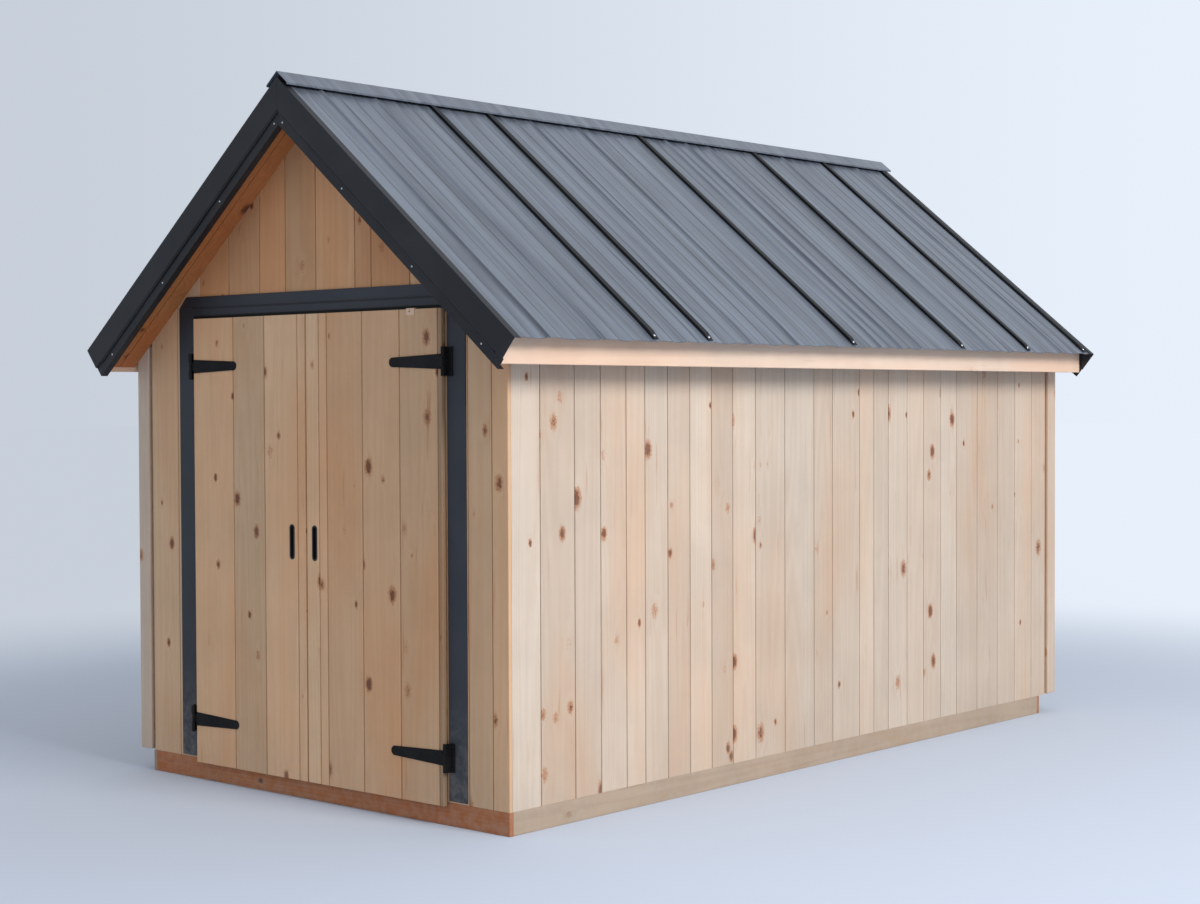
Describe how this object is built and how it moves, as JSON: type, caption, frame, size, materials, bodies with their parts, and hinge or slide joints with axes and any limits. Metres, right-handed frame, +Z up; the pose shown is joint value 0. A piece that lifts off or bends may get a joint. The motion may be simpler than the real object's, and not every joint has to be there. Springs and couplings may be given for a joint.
{
  "type": "wooden garden shed",
  "caption": "Timber garden shed with a steep gable roof of ribbed metal sheets and a pair of outward-opening boarded doors in its front gable.",
  "frame": {"origin": "on the ground under the middle of the roof", "axes": "+X to the right seen from the doors, +Y from the doors to the back, +Z up"},
  "size_m": [2.52, 4.186, 2.8511],
  "materials": {
    "base_timber": "rough sawn, oiled brown",
    "framing": "planed pine",
    "floor_boards": "planed pine",
    "cladding": "planed knotty pine",
    "soffit": "planed knotty pine",
    "fascia": "planed pale pine",
    "door_boards": "planed knotty pine",
    "roof_metal": "satin blue-grey coating",
    "rib_metal": "satin black coating",
    "trim_metal": "matt charcoal coating",
    "black_iron": "black powder coat",
    "black_plastic": "black, fine texture"
  },
  "bodies": {
    "root": {"base_front": "base_timber", "base_back": "base_timber", "base_left": "base_timber", "base_right": "base_timber", "floor_joists": "framing", "floor_deck": "floor_boards", "front_wall_left": "cladding", "front_wall_right": "cladding", "front_gable": "cladding", "back_wall": "cladding", "left_wall": "cladding", "right_wall": "cladding", "corner_strips": "cladding", "front_frame_left": "framing", "front_frame_right": "framing", "front_gable_frame": "framing", "back_frame": "framing", "left_frame": "framing", "right_frame": "framing", "ridge_board": "framing", "rafters_left": "framing", "rafters_right": "framing", "front_soffit": "soffit", "roof_deck_left": "soffit", "roof_deck_right": "soffit", "roof_sheet_left": "roof_metal", "roof_sheet_right": "roof_metal", "roof_ribs_left": "rib_metal", "roof_ribs_right": "rib_metal", "ridge_cap": "roof_metal", "rake_front_left": "trim_metal", "rake_front_right": "trim_metal", "rake_back_left": "trim_metal", "rake_back_right": "trim_metal", "eave_fascia_left": "fascia", "eave_fascia_right": "fascia", "door_side_trims": "trim_metal", "door_header_trim": "trim_metal", "left_hinge_plates": "black_iron", "right_hinge_plates": "black_iron"},
    "left_leaf": {"left_door": "door_boards", "left_door_ledges": "framing", "left_hinge_straps": "black_iron", "left_pull": "black_plastic"},
    "right_leaf": {"right_door": "door_boards", "right_door_ledges": "framing", "right_hinge_straps": "black_iron", "right_pull": "black_plastic"}
  },
  "joints": [
    {"name": "left_door_hinge", "type": "hinge", "parent": "root", "child": "left_leaf", "pos_m": [-0.739, -1.9475, 0.256], "axis": [0, 0, -1], "range_deg": [0, 120]},
    {"name": "right_door_hinge", "type": "hinge", "parent": "root", "child": "right_leaf", "pos_m": [0.753, -1.9475, 0.256], "axis": [0, 0, 1], "range_deg": [0, 120]}
  ]
}
